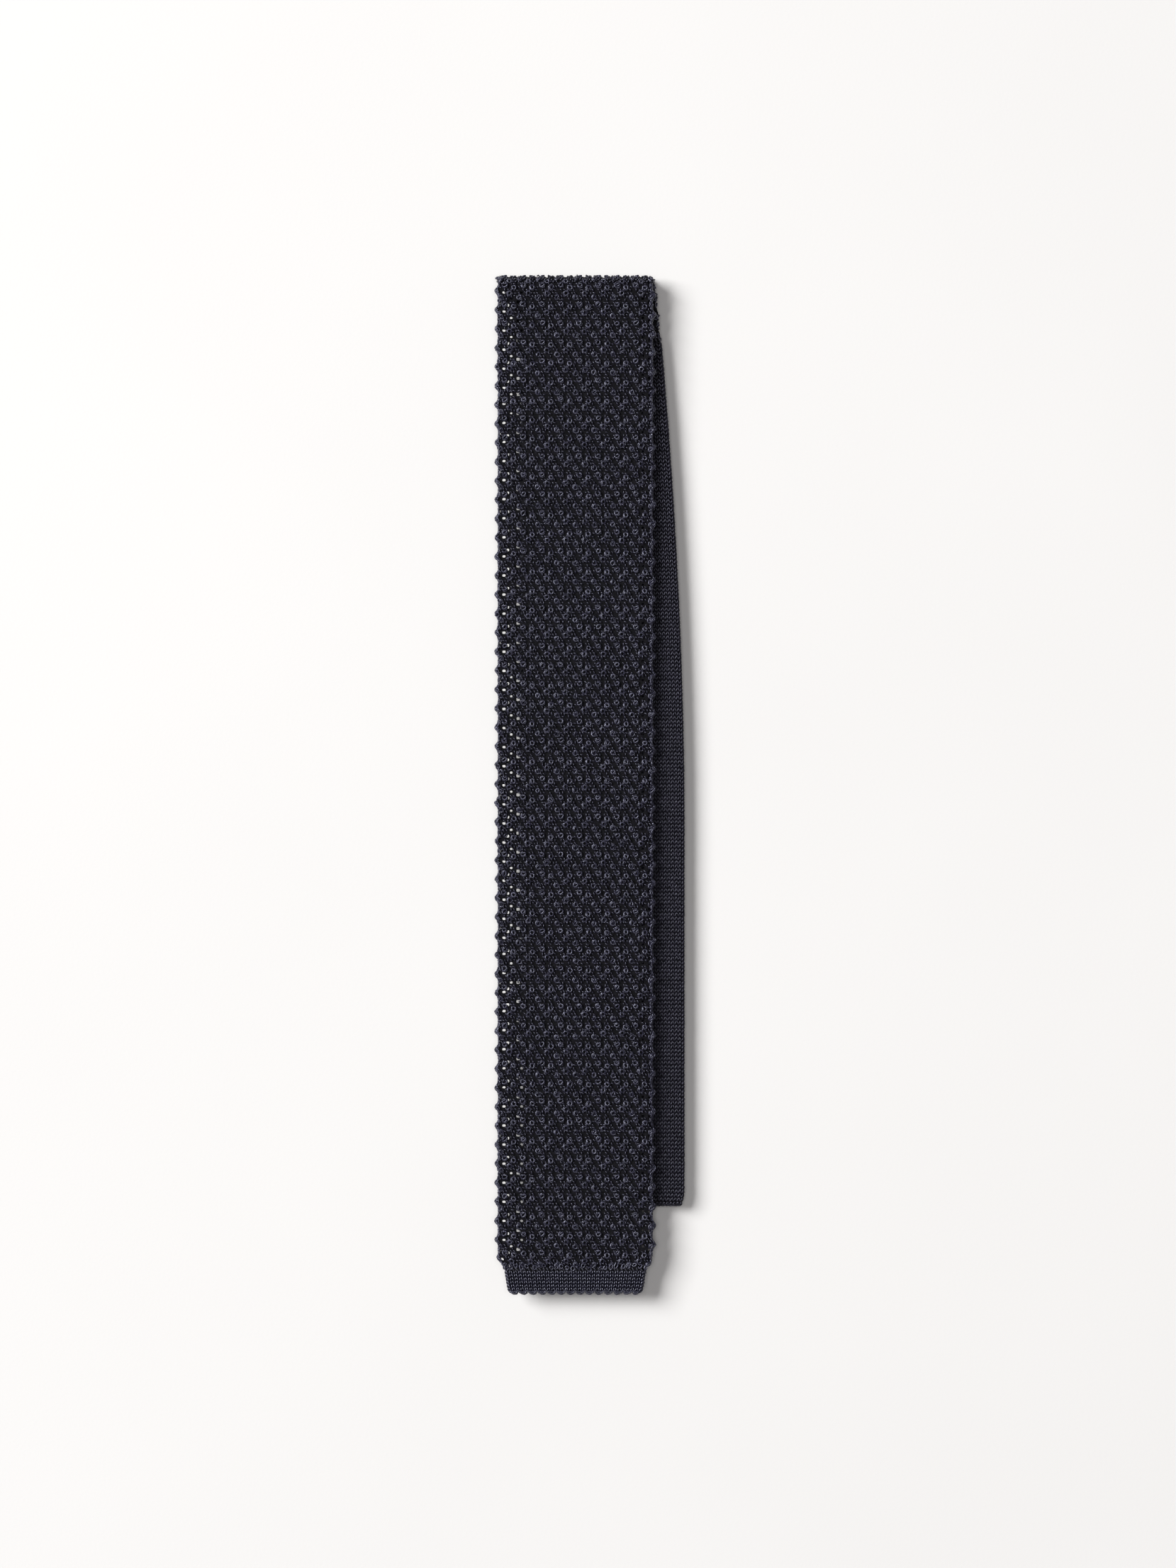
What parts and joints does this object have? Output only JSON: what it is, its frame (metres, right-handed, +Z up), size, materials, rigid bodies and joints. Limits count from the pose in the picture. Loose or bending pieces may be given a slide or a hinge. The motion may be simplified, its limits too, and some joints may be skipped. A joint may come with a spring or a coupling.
{
  "type": "necktie",
  "caption": "Square-ended silk knit necktie folded flat in four, open-work front blade on top, plain-knit neck band and tail beneath, with folds that open until it lies straight.",
  "frame": {"origin": "on the table under the middle of the folded tie's outline", "axes": "+Z up from the table, +Y from the front blade's tip towards the top folds, +X to the right as the front blade is looked at from above"},
  "size_m": [0.072, 0.3943, 0.0103],
  "materials": {
    "blade_knit": "open-work silk knit, near-black navy, soft sheen on each loop",
    "neck_knit": "fine plain silk knit, near-black navy, low sheen",
    "hem_knit": "tight plain silk knit, near-black navy, soft sheen",
    "seam_yarn": "twisted silk yarn, near-black navy",
    "satin_tape": "woven satin tape, near-black navy",
    "label_satin": "blank off-white satin label"
  },
  "bodies": {
    "tail": {"tail_blade": "blade_knit", "tail_neck_end": "neck_knit", "tail_neck_seam": "seam_yarn", "tail_hem_seam": "seam_yarn", "tail_hem_band": "hem_knit", "tail_cast_off": "hem_knit", "care_label": "label_satin", "care_label_tack_left": "seam_yarn", "care_label_tack_right": "seam_yarn"},
    "lower_neck": {"lower_neck_band": "neck_knit", "tail_fold_turn": "neck_knit"},
    "upper_neck": {"upper_neck_band": "neck_knit", "neck_fold_turn": "neck_knit", "blade_neck_seam": "seam_yarn", "blade_knit_end": "blade_knit"},
    "blade": {"front_blade": "blade_knit", "blade_fold_turn": "blade_knit", "blade_hem_seam": "seam_yarn", "blade_hem_band": "hem_knit", "blade_cast_off": "hem_knit", "keeper_loop": "satin_tape", "keeper_tack_left": "seam_yarn", "keeper_tack_right": "seam_yarn"}
  },
  "joints": [
    {"name": "tail_fold", "type": "hinge", "parent": "tail", "child": "lower_neck", "pos_m": [0, 0.19435, 0.0022], "axis": [-1, 0, 0], "range_deg": [0, 180], "deforming": ["tail_fold_turn"]},
    {"name": "neck_fold", "type": "hinge", "parent": "lower_neck", "child": "upper_neck", "pos_m": [0, -0.1616, 0.00455], "axis": [1, 0, 0], "range_deg": [0, 180], "deforming": ["neck_fold_turn"]},
    {"name": "blade_fold", "type": "hinge", "parent": "upper_neck", "child": "blade", "pos_m": [0, 0.19435, 0.0075], "axis": [-1, 0, 0], "range_deg": [0, 180], "deforming": ["blade_fold_turn"]}
  ]
}
